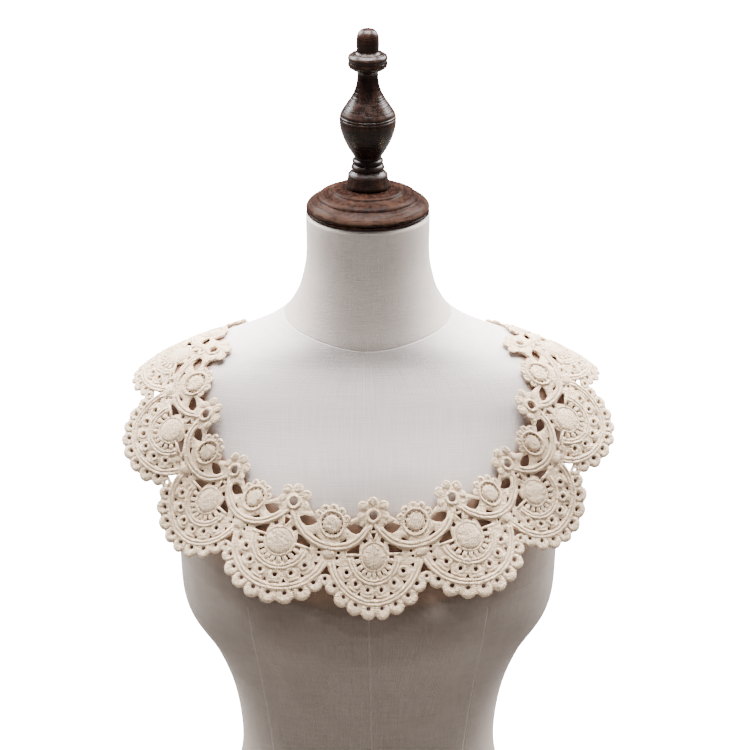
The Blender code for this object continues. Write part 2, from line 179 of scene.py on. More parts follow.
CROWN_GAP = ((-3.0, 20.6), (3.0, 20.6), (0.3, 14.6), (-0.3, 14.6))
CROWN_SLIT = ((-2.0, 22.9), (2.0, 22.9), (0.0, 26.6))
TEMPLE_GAP = ((5.6, 13.4), (8.8, 11.2), (10.8, 13.8), (7.4, 16.4))
WING_GAP = ((14.0, 2.6), (25.6, 2.6), (25.4, 5.4), (19.4, 8.8), (12.4, 11.4), (13.8, 7.0))
LEAF_GAP = ((8.6, 24.6), (12.6, 28.0), (18.0, 28.8), (25.0, 25.8), (21.0, 21.6), (16.5, 19.4), (12.0, 21.2))
VALLEY_GAP = ((0, -10.2), (-4.6, -18.6), (4.6, -18.6))
VALLEY_LOBE_DROP = 23.0
VALLEY_LOBE_RADIUS = 5.2
ROSE_SLITS = 14
SIDE_SLIT_ANGLE = 40
# The small holes past the shoulders have a dark sheet under them, painted shade, so that no backdrop shows through
SHADE_SHEET_REPEATS = (-4, -3, -2, 2, 3, 4)


def settings():
    return bpy.context.scene.lace_collar


def table_curve(knots, rows, at):
    """Rows of a table joined by smooth cubic pieces, read at the given knots."""
    knots = np.asarray(knots, float)
    rows = np.asarray(rows, float)
    at = np.asarray(at, float)
    slopes = np.gradient(rows, knots, axis=0)
    i = np.clip(np.searchsorted(knots, at, side="right") - 1, 0, len(knots) - 2)
    gap = (knots[i + 1] - knots[i])[:, None]
    t = (at - knots[i])[:, None] / gap
    start = (1 + 2 * t) * (1 - t) ** 2 * rows[i] + t * (1 - t) ** 2 * gap * slopes[i]
    end = t * t * (3 - 2 * t) * rows[i + 1] + t * t * (t - 1) * gap * slopes[i + 1]
    return start + end


def around(centre, radius, degrees):
    """A flat point round a centre; 0 degrees is towards the hem and 90 to the side."""
    turn = math.radians(degrees)
    return (centre[0] + radius * math.sin(turn), centre[1] - radius * math.cos(turn))


def finished(name, bm, finish, replaced=()):
    """Makes the object of a piece from its mesh in metres, and fits it to the frame."""
    mesh = bpy.data.meshes.new(name)
    bm.to_mesh(mesh)
    bm.free()
    mesh.materials.append(finish)
    mesh.shade_smooth()
    piece = bpy.data.objects.new(name, mesh)
    bpy.context.scene.collection.objects.link(piece)
    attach(piece, "root")
    if replaced:
        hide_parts(*replaced)
    return piece


# Shader groups and materials

class Signal:
    """A value in a node tree. Arithmetic on it adds Math nodes."""

    def __init__(self, tree, socket):
        self.tree = tree
        self.socket = socket

    def __add__(self, other):
        return math_node("ADD", self, other)

    def __sub__(self, other):
        return math_node("SUBTRACT", self, other)

    def __rsub__(self, other):
        return math_node("SUBTRACT", other, self)

    def __mul__(self, other):
        return math_node("MULTIPLY", self, other)

    def __truediv__(self, other):
        return math_node("DIVIDE", self, other)

    def __rtruediv__(self, other):
        return math_node("DIVIDE", other, self)

    def __abs__(self):
        return math_node("ABSOLUTE", self)


def plug(socket, value):
    """Links a signal to an input, or gives the input a plain value."""
    if isinstance(value, Signal):
        value.tree.links.new(value.socket, socket)
    else:
        socket.default_value = value


def add_node(kind, inputs, output=0, **choices):
    """Adds a node to the tree of the signals that it reads, and returns one output."""
    tree = next(value.tree for value in inputs.values() if isinstance(value, Signal))
    node = tree.nodes.new(kind)
    for name, value in choices.items():
        setattr(node, name, value)
    for key, value in inputs.items():
        plug(node.inputs[key], value)
    return Signal(tree, node.outputs[output])


def math_node(operation, *values):
    return add_node("ShaderNodeMath", dict(enumerate(values)), operation=operation)


def noise_node(vector, scale, detail, roughness=0.55):
    inputs = {"Vector": vector, "Scale": scale, "Detail": detail, "Roughness": roughness}
    return add_node("ShaderNodeTexNoise", inputs, "Fac")


def ramp_node(value, low, high):
    """A value spread from 0 at low to 1 at high."""
    inputs = {"Value": value, "From Min": low, "From Max": high}
    return add_node("ShaderNodeMapRange", inputs, "Result", interpolation_type="SMOOTHSTEP")


def blend_node(factor, first, second, kind="MIX"):
    """One colour over another."""
    first, second = (tone if isinstance(tone, Signal) else (*tone, 1.0) for tone in (first, second))
    inputs = {"Factor": factor, 6: first, 7: second}
    return add_node("ShaderNodeMix", inputs, 2, data_type="RGBA", blend_type=kind)


def stretched(vector, x, y, z):
    return add_node("ShaderNodeVectorMath", {0: vector, 1: (x, y, z)}, operation="MULTIPLY")


def split(vector):
    """The x, y and z of a vector."""
    x = add_node("ShaderNodeSeparateXYZ", {0: vector})
    return [Signal(x.tree, socket) for socket in x.socket.node.outputs]


def attribute(tree, name):
    node = tree.nodes.new("ShaderNodeAttribute")
    node.attribute_name = name
    return Signal(tree, node.outputs["Fac"])


def new_group(name, **numbers):
    """A node group that reads a vector and some numbers. Returns the group, then those as signals."""
    group = bpy.data.node_groups.new(name, "ShaderNodeTree")
    group.interface.new_socket("Vector", in_out="INPUT", socket_type="NodeSocketVector")
    for label, value in numbers.items():
        socket = group.interface.new_socket(label, in_out="INPUT", socket_type="NodeSocketFloat")
        socket.default_value = value
    given = group.nodes.new("NodeGroupInput").outputs
    return group, *(Signal(group, given[label]) for label in ("Vector", *numbers))


def close_group(group, **results):
    """Gives a group its named outputs."""
    for label in results:
        group.interface.new_socket(label, in_out="OUTPUT", socket_type="NodeSocketFloat")
    made = group.nodes.new("NodeGroupOutput")
    for label, value in results.items():
        plug(made.inputs[label], value)
    return group


def place_group(group, vector, **numbers):
    """Uses a group on a vector, and returns its outputs by name."""
    node = vector.tree.nodes.new("ShaderNodeGroup")
    node.node_tree = group
    for label, value in {"Vector": vector, **numbers}.items():
        plug(node.inputs[label], value)
    return {socket.name: Signal(vector.tree, socket) for socket in node.outputs}


@functools.cache
def weave_group():
    """Plain weave on a UV map in millimetres: threads both ways, each with its own thickness."""
    group, vector, pitch, slub = new_group("Plain weave", Pitch=0.8, Slub=0.5)
    along, across = (math_node("SINE", axis / pitch * (2 * math.pi)) for axis in split(vector)[:2])
    threads = noise_node(stretched(vector, 0.03, 1.1, 1), 1.0, 2.0)
    threads += noise_node(stretched(vector, 1.1, 0.03, 1), 1.0, 2.0)
    slub = (threads - 1.0) * slub
    return close_group(group, Height=along * across * 0.25 + slub + 0.5, Thread=slub + 0.5)


@functools.cache
def stitch_group():
    """Satin stitches across a run of thread: stripes along the UV map's first direction."""
    group, vector, pitch = new_group("Satin stitch", Pitch=0.6)
    along = split(vector)[0] + noise_node(vector, 0.9, 2.0) * 0.5
    wave = math_node("SINE", along / pitch * (2 * math.pi))
    each = noise_node(stretched(vector, 1.6, 0.12, 1), 1.0, 1.0)
    return close_group(group, Height=wave * 0.3 + each, Thread=each)


@functools.cache
def ageing_group():
    """Soft uneven colour of old cloth: a cloudy mask and a fine one, from 0 to 1."""
    group, vector, size = new_group("Ageing", Size=0.05)
    scaled = add_node("ShaderNodeVectorMath", {0: vector, "Scale": 1.0 / size}, operation="SCALE")
    coarse = noise_node(scaled, 1.0, 4.0, 0.6)
    return close_group(group, Mask=ramp_node(coarse, 0.35, 0.7), Fine=noise_node(scaled, 7.0, 3.0, 0.6))


@functools.cache
def seam_group():
    """The dress form's seams: a mask of the neck panel above the neck seam, and one of the seam lines."""
    group, vector, width = new_group("Form seams", Width=0.0009)
    x, y, z = split(vector)
    reach = math_node("SQRT", x * x + y * y)
    dip = math_node("EXPONENT", (y / reach + 1.0) * -NECK_SEAM_ROUNDNESS) * NECK_SEAM_DIP
    above = z - (NECK_SEAM_HEIGHT - dip)
    centre = abs(x + (z - CENTRE_SEAM_HEIGHT) * CENTRE_SEAM_LEAN) + (1.0 - ramp_node(above, 0.0005, -0.0005))
    side = (z - SIDE_SEAM_HEIGHT) * SIDE_SEAM_LEAN + SIDE_SEAM_PLACE
    side = abs(abs(x) - side) + (1.0 - ramp_node(z, *SIDE_SEAM_TOP))
    nearest = math_node("MINIMUM", abs(above), math_node("MINIMUM", centre, side))
    line = ramp_node(nearest / width, 1.0, 0.2)
    return close_group(group, Neck=ramp_node(above, -0.0006, 0.0012), Line=line)


@functools.cache
def lathe_group():
    """Marks that the turning tool leaves all round a turned piece."""
    group, vector = new_group("Lathe marks")
    x, y, z = split(vector)
    reach = math_node("SQRT", x * x + y * y)
    place = add_node("ShaderNodeCombineXYZ", {0: reach, 1: z, 2: x * 0.12})
    return close_group(group, Height=noise_node(place, 700.0, 2.0, 0.6))


def new_material(name, numbers):
    """A material with some numbers on its shader. Returns it, its tree and the shader's inputs."""
    made = bpy.data.materials.new(name)
    made.use_nodes = True
    shader = made.node_tree.nodes["Principled BSDF"].inputs
    for label, value in numbers.items():
        shader[label].default_value = value
    return made, made.node_tree, shader


def coordinates(tree):
    """The piece's own coordinates and its UV map."""
    outputs = tree.nodes.new("ShaderNodeTexCoord").outputs
    return Signal(tree, outputs["Object"]), Signal(tree, outputs["UV"])


def surface(shader, tone, height, strength, distance):
    """Links the colour and the bump of a height."""
    plug(shader["Base Color"], tone)
    plug(shader["Normal"], add_node("ShaderNodeBump", {
        "Height": height, "Strength": strength, "Distance": distance}))


@functools.cache
def linen():
    given = settings().form
    made, tree, shader = new_material("Linen", {
        "Roughness": 0.92, "Sheen Weight": 0.12, "Specular IOR Level": 0.2})
    place, uv = coordinates(tree)
    weave = place_group(weave_group(), uv, Pitch=given.weave_pitch / MM, Slub=0.8)
    ageing = place_group(ageing_group(), place, Size=0.09)
    seams = place_group(seam_group(), place, Width=given.seam_width)
    height = split(place)[2]
    # Painted shade: the linen below the collar is darker than the lit chest, as if lit from above, and lightens
    # again towards the waist
    lower = blend_node(ramp_node(height, 0.36, 0.24), given.lower_shade_colour, given.waist_shade_colour)
    tone = blend_node(ramp_node(height, 0.49, 0.42), given.linen_colour, lower)
    # The neck panel above its seam is painted a darker tone, as the shade of the upright neck under the cap
    tone = blend_node(seams["Neck"], tone, given.neck_shade_colour)
    tone = blend_node(ramp_node(weave["Thread"], 0.3, 0.75) * 0.7, tone, (0.80, 0.78, 0.76), "MULTIPLY")
    tone = blend_node(ageing["Mask"] * 0.2, tone, given.aged_colour)
    # Painted shadow of the collar on the linen below its hem
    tone = blend_node(attribute(tree, "hem_shadow") * 0.9, tone, given.hem_shadow_colour)
    # Painted shadow of the lace on the linen under it and just beside it
    tone = blend_node(attribute(tree, "lace_shadow") * 0.85, tone, given.lace_shadow_colour)
    tone = blend_node(seams["Line"] * 0.1, tone, (0.95, 0.92, 0.88))
    surface(shader, tone, weave["Height"] - seams["Line"] * 1.1, 0.55, 0.0004)
    return made


def cotton_tone(place, thread):
    """The lace's colour: cream thread, browner in specks and where it has aged, with painted shade down between
    the raised threads and on the dark sheets under the holes.
    """
    given = settings().lace
    ageing = place_group(ageing_group(), place, Size=0.02)
    tone = blend_node(ageing["Mask"] * 0.4, given.cotton_colour, given.aged_colour)
    tone = blend_node(thread * 0.4, tone, given.thread_colour)
    # Painted shade: darker down in the hollows, and fully on the dark sheets under the holes
    hollow_shade = (1.0 - attribute(place.tree, "raised")) * (ageing["Fine"] + 0.35)
    speck = ramp_node(noise_node(place, 430.0, 3.0, 0.7), 0.54, 0.72)
    return blend_node(math_node("MAXIMUM", hollow_shade, speck * 0.19), tone, given.recess_shade_and_speck_colour)


@functools.cache
def satin_cotton():
    made, tree, shader = new_material("Satin-stitched cotton", {
        "Roughness": 0.72, "Sheen Weight": 0.25, "Specular IOR Level": 0.35})
    place, uv = coordinates(tree)
    stitch = place_group(stitch_group(), uv, Pitch=settings().lace.stitch_pitch / MM)
    height = stitch["Height"] + noise_node(place, 340.0, 3.0, 0.65) * 2.6
    surface(shader, cotton_tone(place, stitch["Thread"]), height, 1.0, 0.0015)
    return made


@functools.cache
def ground_cotton():
    made, tree, shader = new_material("Stitched ground", {
        "Roughness": 0.85, "Sheen Weight": 0.2, "Specular IOR Level": 0.25})
    place, uv = coordinates(tree)
    weave = place_group(weave_group(), uv, Pitch=settings().lace.ground_pitch / MM, Slub=0.9)
    height = weave["Height"] + noise_node(place, 320.0, 3.0, 0.65) * 2.8
    surface(shader, cotton_tone(place, weave["Thread"]), height, 1.0, 0.0016)
    return made


@functools.cache
def turned_wood(name, gloss):
    given = settings().wood
    made, tree, shader = new_material(name, {
        "Specular IOR Level": gloss, "Coat Weight": gloss * 0.4, "Coat Roughness": 0.12})
    place, _ = coordinates(tree)
    worn = attribute(tree, "worn")
    grain = noise_node(stretched(place, 260, 260, 14), 1.0, 5.0, 0.6)
    blotch = noise_node(place, 42.0, 4.0, 0.6)
    turned = place_group(lathe_group(), place)["Height"]
    tone = blend_node(ramp_node(grain, 0.38, 0.68), given.dark_colour, given.grain_colour)
    tone = blend_node(ramp_node(blotch, 0.5, 0.75), tone, given.red_colour)
    rubbed = math_node("MINIMUM", worn * ramp_node(blotch, 0.3, 0.62) * 1.2, 1.0)
    tone = blend_node(rubbed, tone, given.worn_colour)
    tone = blend_node(ramp_node(turned, 0.56, 0.66), tone, given.dark_colour)
    plug(shader["Roughness"], worn * 0.5 + ramp_node(grain, -0.4, 2.6))
    surface(shader, tone, grain + turned * 1.5, 0.5, 0.0005)
    return made


# The dress form

def bust_rise(x, height):
    """How far the bust stands forward of the plain section."""
    spread = BUST_UPPER_SPREAD if height > BUST_APEX_HEIGHT else BUST_LOWER_SPREAD
    across = (abs(x) - BUST_APEX_SIDE) / BUST_SIDE_SPREAD
    up = (height - BUST_APEX_HEIGHT) / spread
    return BUST_PROUD * math.exp(-across**2 - up**2)


class LACE_COLLAR_OT_linen_cover(bpy.types.Operator):
    """Makes the torso and neck in their linen cover"""

    bl_idname = "lace_collar.linen_cover"
    bl_label = "Linen cover"

    def execute(self, context):
        given = settings().form
        top = FORM_SECTIONS[-1].height
        bm = bmesh.new()
        uv = bm.loops.layers.uv.new("weave")
        lace_shadow = bm.verts.layers.float.new("lace_shadow")
        hem_shadow = bm.verts.layers.float.new("hem_shadow")
        bmesh.ops.create_cone(bm, cap_ends=True, segments=given.sides, radius1=1, radius2=1, depth=1)
        upright = [e for e in bm.edges if abs(e.verts[0].co.z - e.verts[1].co.z) > 0.5]
        bmesh.ops.subdivide_edges(bm, edges=upright, cuts=given.levels - 2, use_grid_fill=True)
        shares = np.linspace(0, 1, given.levels)
        crowd = (555 / top, 0.12)
        spread = shares + crowd[1] * 0.25 * np.sin(2 * math.pi * (shares - crowd[0])) / math.pi
        spread = (spread - spread[0]) / (spread[-1] - spread[0]) * top
        heights = [section.height for section in FORM_SECTIONS]
        sections = table_curve(heights, [section[1:] for section in FORM_SECTIONS], spread)
        places = {}
        for vert in bm.verts:
            level = round((vert.co.z + 0.5) * (given.levels - 1))
            half_width, front, back, corner = sections[level]
            height = spread[level]
            turn = math.atan2(vert.co.y, vert.co.x)
            cos, sin = math.cos(turn), math.sin(turn)
            x = half_width * math.copysign(abs(cos) ** (2 / corner), cos)
            y = (back if sin > 0 else front) * math.copysign(abs(sin) ** (2 / corner), sin)
            if sin < 0:
                y -= bust_rise(x, height) * abs(sin)
            places[vert] = (turn, Vector((x, y, height)))
        for face in bm.faces:
            middle = places[face.verts[0]][0]
            for loop in face.loops:
                turn, place = places[loop.vert]
                turn = middle + (turn - middle + math.pi) % (2 * math.pi) - math.pi
                loop[uv].uv = (turn * 130, place.z)
        lace, _ = worn_grid()
        count, down = lace.shape[:2]
        patches = [[i * down + j, i * down + j + 1, (i + 1) % count * down + j + 1, (i + 1) % count * down + j]
                   for i in range(count) for j in range(4, down - 3)]
        lace = BVHTree.FromPolygons(lace.reshape(-1, 3).tolist(), patches)
        for vert, (_, place) in places.items():
            vert.co = place * MM
        bmesh.ops.recalc_face_normals(bm, faces=bm.faces)
        bm.normal_update()
        # Painted shade: the share of rays from each point of the linen that meet the lace, out along the normal
        # for the shadow under the lace and upwards for the shadow below the hem
        leans = [Vector((x, y, z)) * 0.3 for x in (-1, 1) for y in (-1, 1) for z in (-1, 1)]
        for vert, (_, place) in places.items():
            for layer, way, reach in ((lace_shadow, vert.normal, given.lace_shadow_reach),
                                      (hem_shadow, vert.normal * 0.3 + Vector((0, 0, 1)), given.hem_shadow_reach)):
                hits = [lace.ray_cast(place, way + lean, reach / MM)[3] for lean in leans]
                vert[layer] = sum(1 - far * MM / reach * (layer == hem_shadow) for far in hits if far) / len(hits)
        finished("linen_cover", bm, linen(), ["dress_form"])
        return {"FINISHED"}


class LACE_COLLAR_OT_turned_wood(bpy.types.Operator):
    """Turns the neck cap and the finial"""

    bl_idname = "lace_collar.turned_wood"
    bl_label = "Cap and finial"

    def execute(self, context):
        steps = settings().wood.sides
        for name, profile, node, finish in (
            ("turned_cap", CAP_PROFILE, "neck_cap", turned_wood("Rubbed wood", 0.02)),
            ("turned_finial", FINIAL_PROFILE, "finial", turned_wood("Varnished wood", 0.13)),
        ):
            bm = bmesh.new()
            worn = bm.verts.layers.float.new("worn")
            line = []
            for turning in profile:
                vert = bm.verts.new((turning.radius * MM, 0, turning.height * MM))
                vert[worn] = turning.worn
                line.append(vert)
            edges = [bm.edges.new(pair) for pair in zip(line, line[1:])]
            bmesh.ops.subdivide_edges(bm, edges=edges, cuts=1, smooth=0.6)
            bmesh.ops.spin(bm, geom=bm.verts[:] + bm.edges[:], cent=(0, 0, 0), axis=(0, 0, 1),
                           angle=2 * math.pi, steps=steps, use_merge=True)
            bmesh.ops.remove_doubles(bm, verts=bm.verts, dist=1e-6)
            bmesh.ops.recalc_face_normals(bm, faces=bm.faces)
            finished(name, bm, finish, [node])
        return {"FINISHED"}


# How the lace is worn

@functools.cache
def worn_grid():
    """The lace's inner face as a grid of points: round the ring, then down from the neckline."""
    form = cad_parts["dress_form"].data
    tree = BVHTree.FromPolygons([v.co / MM for v in form.vertices], [p.vertices[:] for p in form.polygons])
    half = REPEATS // 2
    rows = [list(station) for station in WORN_STATIONS]
    mirrored = [[-r[0], r[1], r[2], -r[3], -r[4], r[5], r[6]] for r in rows]
    beyond = [[r[0], r[1], r[2], 360 + r[3], r[4], r[5], r[6]] for r in mirrored[half - 1:half - 4:-1]]
    before = [mirrored[k] for k in (3, 2, 1)]
    at = np.arange(half * GRID_PER_REPEAT + 1) / GRID_PER_REPEAT
    table = table_curve(range(-3, half + 4), before + rows + beyond, at)
    neck = np.stack([table[:, 0], -table[:, 1], table[:, 2]], axis=1)
    share = (np.arange(GRID_DOWN) + 0.5) / GRID_DOWN
    heading = np.radians(table[:, 3, None] + table[:, 4, None] * share)
    slope = np.radians(table[:, 5, None] + (table[:, 6, None] - table[:, 5, None]) * share)
    step = (NECK_EDGE_RISE + HEM_REACH) / GRID_DOWN
    steps = step * np.stack(
        [np.sin(heading) * np.cos(slope), -np.cos(heading) * np.cos(slope), -np.sin(slope)], axis=2)
    side = np.concatenate([neck[:, None], neck[:, None] + np.cumsum(steps, axis=1)], axis=1)
    grid = np.concatenate([side, side[-2:0:-1] * np.array([-1, 1, 1])])
    for _ in range(SMOOTHING_ROUNDS):
        beside = (np.roll(grid, 1, axis=0) + np.roll(grid, -1, axis=0)) / 2
        down = grid.copy()
        down[:, 1:-1] = (grid[:, 2:] + grid[:, :-2]) / 2
        grid = grid * 0.5 + beside * 0.25 + down * 0.25
        for ring in grid:
            for point in ring:
                spot, normal, _, _ = tree.find_nearest(Vector(point))
                if (Vector(point) - spot).dot(normal) < REST_GAP:
                    point[:] = spot + normal * REST_GAP
    grid = (grid + np.roll(grid[::-1], 1, axis=0) * np.array([-1, 1, 1])) / 2
    across = np.roll(grid, -1, axis=0) - np.roll(grid, 1, axis=0)
    normals = np.cross(np.gradient(grid, axis=1), across)
    normals /= np.linalg.norm(normals, axis=2, keepdims=True)
    return grid, normals


def smooth_share(t):
    """Weights of four neighbours for a smooth curve through the middle two."""
    return ((-t + 2 * t**2 - t**3) / 2, (2 - 5 * t**2 + 3 * t**3) / 2,
            (t + 4 * t**2 - 3 * t**3) / 2, (t**3 - t**2) / 2)


def wear(mesh):
    """Moves a mesh from the flat cut, in millimetres, to the worn surface, in metres."""
    grid, normals = worn_grid()
    flat = np.empty(len(mesh.vertices) * 3, np.float32)
    mesh.vertices.foreach_get("co", flat)
    flat = flat.reshape(-1, 3).astype(float)
    turns = np.arctan2(flat[:, 0], -flat[:, 1])
    turns[turns < -(FRONT_REPEATS + 1) / 2 * PITCH_ANGLE] += 2 * math.pi
    turns = (turns / PITCH_ANGLE + SLIPPED_ROUND) * GRID_PER_REPEAT
    drop = np.hypot(flat[:, 0], flat[:, 1]) - (MEDALLION_CIRCLE - NECK_EDGE_RISE)
    downs = np.clip(drop / (NECK_EDGE_RISE + HEM_REACH), 0, 1) * GRID_DOWN
    i = np.floor(turns).astype(int)
    j = np.minimum(downs.astype(int), GRID_DOWN - 1)
    point = np.zeros_like(flat)
    normal = np.zeros_like(flat)
    for di, across in enumerate(smooth_share((turns - i)[:, None]), -1):
        for dj, down in enumerate(smooth_share((downs - j)[:, None]), -1):
            column = (i + di) % len(grid)
            row = np.clip(j + dj, 0, GRID_DOWN)
            point += across * down * grid[column, row]
            normal += across * down * normals[column, row]
    normal /= np.linalg.norm(normal, axis=1, keepdims=True)
    mesh.vertices.foreach_set("co", ((point + normal * flat[:, 2:3]) * MM).ravel())
    mesh.update()


def laid_out(motifs, places):
    """One mesh of a flat motif repeated at places round the cut, counted in repeats from the front."""
    bm = bmesh.new()
    for motif, repeats in zip(motifs, places):
        for repeat in repeats:
            count = len(bm.verts)
            bm.from_mesh(motif)
            turn = Matrix.Rotation(repeat * PITCH_ANGLE, 4, "Z")
            bmesh.ops.transform(bm, matrix=turn @ Matrix.Translation((0, -MEDALLION_CIRCLE, 0)),
                                verts=bm.verts[:][count:])
    return bm


def worn_piece(name, bm, finish, replaced=()):
    """Makes a lace piece of its flat mesh, with the small unevenness of hand-laid thread."""
    raised = bm.verts.layers.float.new("raised")
    shade_sheet = bm.verts.layers.float.get("shade_sheet")
    given = settings().lace
    face = given.ground_thickness / MM + 0.2
    for vert in bm.verts:
        height = min(1, max(0, vert.co.z - face))
        # The raised mask sets the painted shade: 0 on the dark sheets, and a little more painted shade on the
        # lower threads
        vert[raised] = 0 if shade_sheet and vert[shade_sheet] else 0.88 + 0.12 * height
        off = noise.noise_vector(vert.co * 0.21) * given.unevenness / MM
        off += noise.noise_vector(vert.co * 0.6) * given.unevenness / MM * 0.6
        off.z = off.z * 0.8 if vert.co.z > 1.5 else 0
        vert.co += off
    piece = finished(name, bm, finish, replaced)
    wear(piece.data)
    return piece


FRONT = (range(-4, 5), [k + 0.5 for k in range(-5, 5)])
BACK = (range(5, 10), [k + 0.5 for k in range(5, 9)])


def with_shade_sheets(places):
    """The places of the open repeats, of those with dark painted-shade sheets under their holes and of those
    between.
    """
    repeats, between = places
    return ([k for k in repeats if k not in SHADE_SHEET_REPEATS], [k for k in repeats if k in SHADE_SHEET_REPEATS], between)


# Flat motifs, stitched in millimetres

class Stitching:
    """A flat mesh that motifs are added to, with a UV map along and across each run of thread."""

    def __init__(self):
        self.bm = bmesh.new()
        self.uv = self.bm.loops.layers.uv.new("thread")
        self.shade_sheet = self.bm.verts.layers.float.new("shade_sheet")

    def unwrap(self, faces, centre, radius):
        """UVs by the angle and the distance from a centre."""
        for face in faces:
            first = None
            for loop in face.loops:
                x, y = loop.vert.co.x - centre[0], loop.vert.co.y - centre[1]
                turn = math.atan2(x, -y)
                if first is None:
                    first = turn
                turn = first + (turn - first + math.pi) % (2 * math.pi) - math.pi
                loop[self.uv].uv = (turn * radius, math.hypot(x, y))

    def ring(self, centre, ring, level=2.0, sides=8, stretch=1.0, lean=(0, 0), flat=1.0):
        """A padded cord round a centre, spun from its section; a whole turn is joined up."""
        whole = ring.end - ring.start >= 360
        at = Vector((*around(centre, ring.radius, ring.start), level))
        turn = math.radians(ring.start)
        squash = Matrix.Diagonal((ring.width / 2, ring.height / 2, 1, 1))
        section = Matrix.Rotation(math.pi / 2, 4, "Y") @ Matrix.Rotation(math.pi / 2, 4, "Z")
        before = len(self.bm.faces)
        made = bmesh.ops.create_circle(
            self.bm, cap_ends=not whole, segments=sides, radius=1.0,
            matrix=Matrix.Translation(at) @ Matrix.Rotation(turn, 4, "Z") @ section @ squash)
        verts = made["verts"]
        edges = list({e for v in verts for e in v.link_edges})
        faces = list({f for v in verts for f in v.link_faces})
        span = math.radians(ring.end - ring.start)
        steps = max(10, round(abs(span) * ring.radius / 1.9))
        bmesh.ops.spin(self.bm, geom=verts + edges + faces, cent=(*centre, 0), axis=(0, 0, 1),
                       angle=span, steps=steps, use_merge=whole)
        self.unwrap(self.bm.faces[:][before:], centre, ring.radius)
        outer = ring.radius + ring.width / 2
        middle = math.radians(ring.start + ring.end) / 2
        for vert in {v for f in self.bm.faces[:][before:] for v in f.verts}:
            off = vert.co.xy - Vector(centre)
            rise = (vert.co.z - level) * 2 / ring.height
            vert.co.z = level + math.copysign(abs(rise) ** flat, rise) * ring.height / 2
            if not whole:
                turn = (math.atan2(off.x, -off.y) - middle + math.pi) % (2 * math.pi) - math.pi
                tuck = min(1, (span / 2 - abs(turn)) * ring.radius / 3.5)
                vert.co.z = 1 + (vert.co.z - 1) * (0.15 + 0.85 * tuck)
            share = min(1, (outer - off.length) / ring.width)
            vert.co.xy = Vector(centre) + Vector((off.x, off.y * stretch)) + Vector(lean) * share

    def puff(self, centre, across, along, height, level=2.0, turn=0.0, segments=10, rings=6):
        """A padded dome, its stitches laid along one direction."""
        before = len(self.bm.faces)
        bmesh.ops.create_uvsphere(
            self.bm, u_segments=segments, v_segments=rings, radius=1.0,
            matrix=Matrix.Translation((*centre, level)) @ Matrix.Rotation(math.radians(turn), 4, "Z")
            @ Matrix.Diagonal((across, along, height, 1)))
        tilt = Matrix.Rotation(-math.radians(turn), 2)
        for face in self.bm.faces[:][before:]:
            for loop in face.loops:
                loop[self.uv].uv = tilt @ loop.vert.co.xy

    def cushion(self, centre, radius, height, level=0.8, steps=30, stretch=1.0):
        """A flat-topped padded disc, spun from its profile."""
        before = len(self.bm.faces)
        profile = ((0.0, 1.0), (0.45, 0.99), (0.72, 0.93), (0.89, 0.78), (0.98, 0.5), (1.0, 0.2), (0.97, 0.0),
                   (0.0, 0.0))
        line = [self.bm.verts.new((centre[0] + r * radius, centre[1], level + h * height)) for r, h in profile]
        edges = [self.bm.edges.new(pair) for pair in zip(line, line[1:])]
        bmesh.ops.spin(self.bm, geom=line + edges, cent=(*centre, 0), axis=(0, 0, 1),
                       angle=2 * math.pi, steps=steps, use_merge=True)
        faces = self.bm.faces[:][before:]
        verts = list({v for f in faces for v in f.verts})
        bmesh.ops.remove_doubles(self.bm, verts=verts, dist=1e-5)
        verts = list({v for f in self.bm.faces[:][before:] for v in f.verts})
        bmesh.ops.scale(self.bm, vec=(1, stretch, 1), space=Matrix.Translation((-centre[0], -centre[1], 0)),
                        verts=verts)
        for face in self.bm.faces[:][before:]:
            for loop in face.loops:
                loop[self.uv].uv = loop.vert.co.xy

    def bar(self, bar, level=1.8, sides=8):
        """A straight bridging bar between two flat points."""
        before = len(self.bm.faces)
        start, end = Vector((bar.x0, bar.y0, 0)), Vector((bar.x1, bar.y1, 0))
        run = end - start
        made = bmesh.ops.create_cone(self.bm, cap_ends=True, segments=sides, radius1=1, radius2=1, depth=1)
        lie = Matrix.Rotation(math.atan2(run.y, run.x), 4, "Z") @ Matrix.Rotation(math.pi / 2, 4, "Y")
        size = Matrix.Diagonal((bar.width * 0.5, bar.width * 0.5, run.length, 1))
        place = Matrix.Translation((start + end) / 2 + Vector((0, 0, level)))
        bmesh.ops.transform(self.bm, matrix=place @ lie @ size, verts=made["verts"])
        for face in self.bm.faces[:][before:]:
            for loop in face.loops:
                loop[self.uv].uv = ((loop.vert.co - start).dot(run.normalized()), loop.vert.co.z)

    def floor(self, centre, radius, steps=8):
        """A thin dark sheet low down under a small hole, as painted shade."""
        before = len(self.bm.faces)
        self.cushion(centre, radius, 0.3, level=0.3, steps=steps)
        self.darken(before)

    def darken(self, before):
        """Marks the faces made since then as a dark sheet of painted shade."""
        for face in self.bm.faces[:][before:]:
            for vert in face.verts:
                vert[self.shade_sheet] = 1

    def done(self, name):
        bmesh.ops.recalc_face_normals(self.bm, faces=self.bm.faces)
        mesh = bpy.data.meshes.new(name)
        self.bm.to_mesh(mesh)
        self.bm.free()
        return mesh


def medallion_cords(shade_sheet=False):
    work = Stitching()
    if shade_sheet:
        # A dark flat ring under the spoke gaps, as painted shade
        work.ring((0, 0), Ring(16.6, -96, 96, 6.4, 0.4), level=0.5, sides=4)
        work.darken(0)
    for ring in MEDALLION_RINGS:
        work.ring((0, 0), ring)
    for bar in MEDALLION_BARS:
        work.bar(bar)
    for left, right in zip(SPOKE_GAP_ANGLES, SPOKE_GAP_ANGLES[1:]):
        middle = (left + right) / 2
        work.puff(around((0, 0), 16.6, middle), 2.3, 3.6, 1.0, turn=middle, segments=8, rings=5)
    return work.done("medallion cords")


def rose_cords():
    work = Stitching()
    for ring in CUP_RINGS:
        work.ring(CUP, ring)
    for ring in ROSE_RINGS:
        work.ring(ROSE, ring, stretch=1.1)
    return work.done("rose cords")


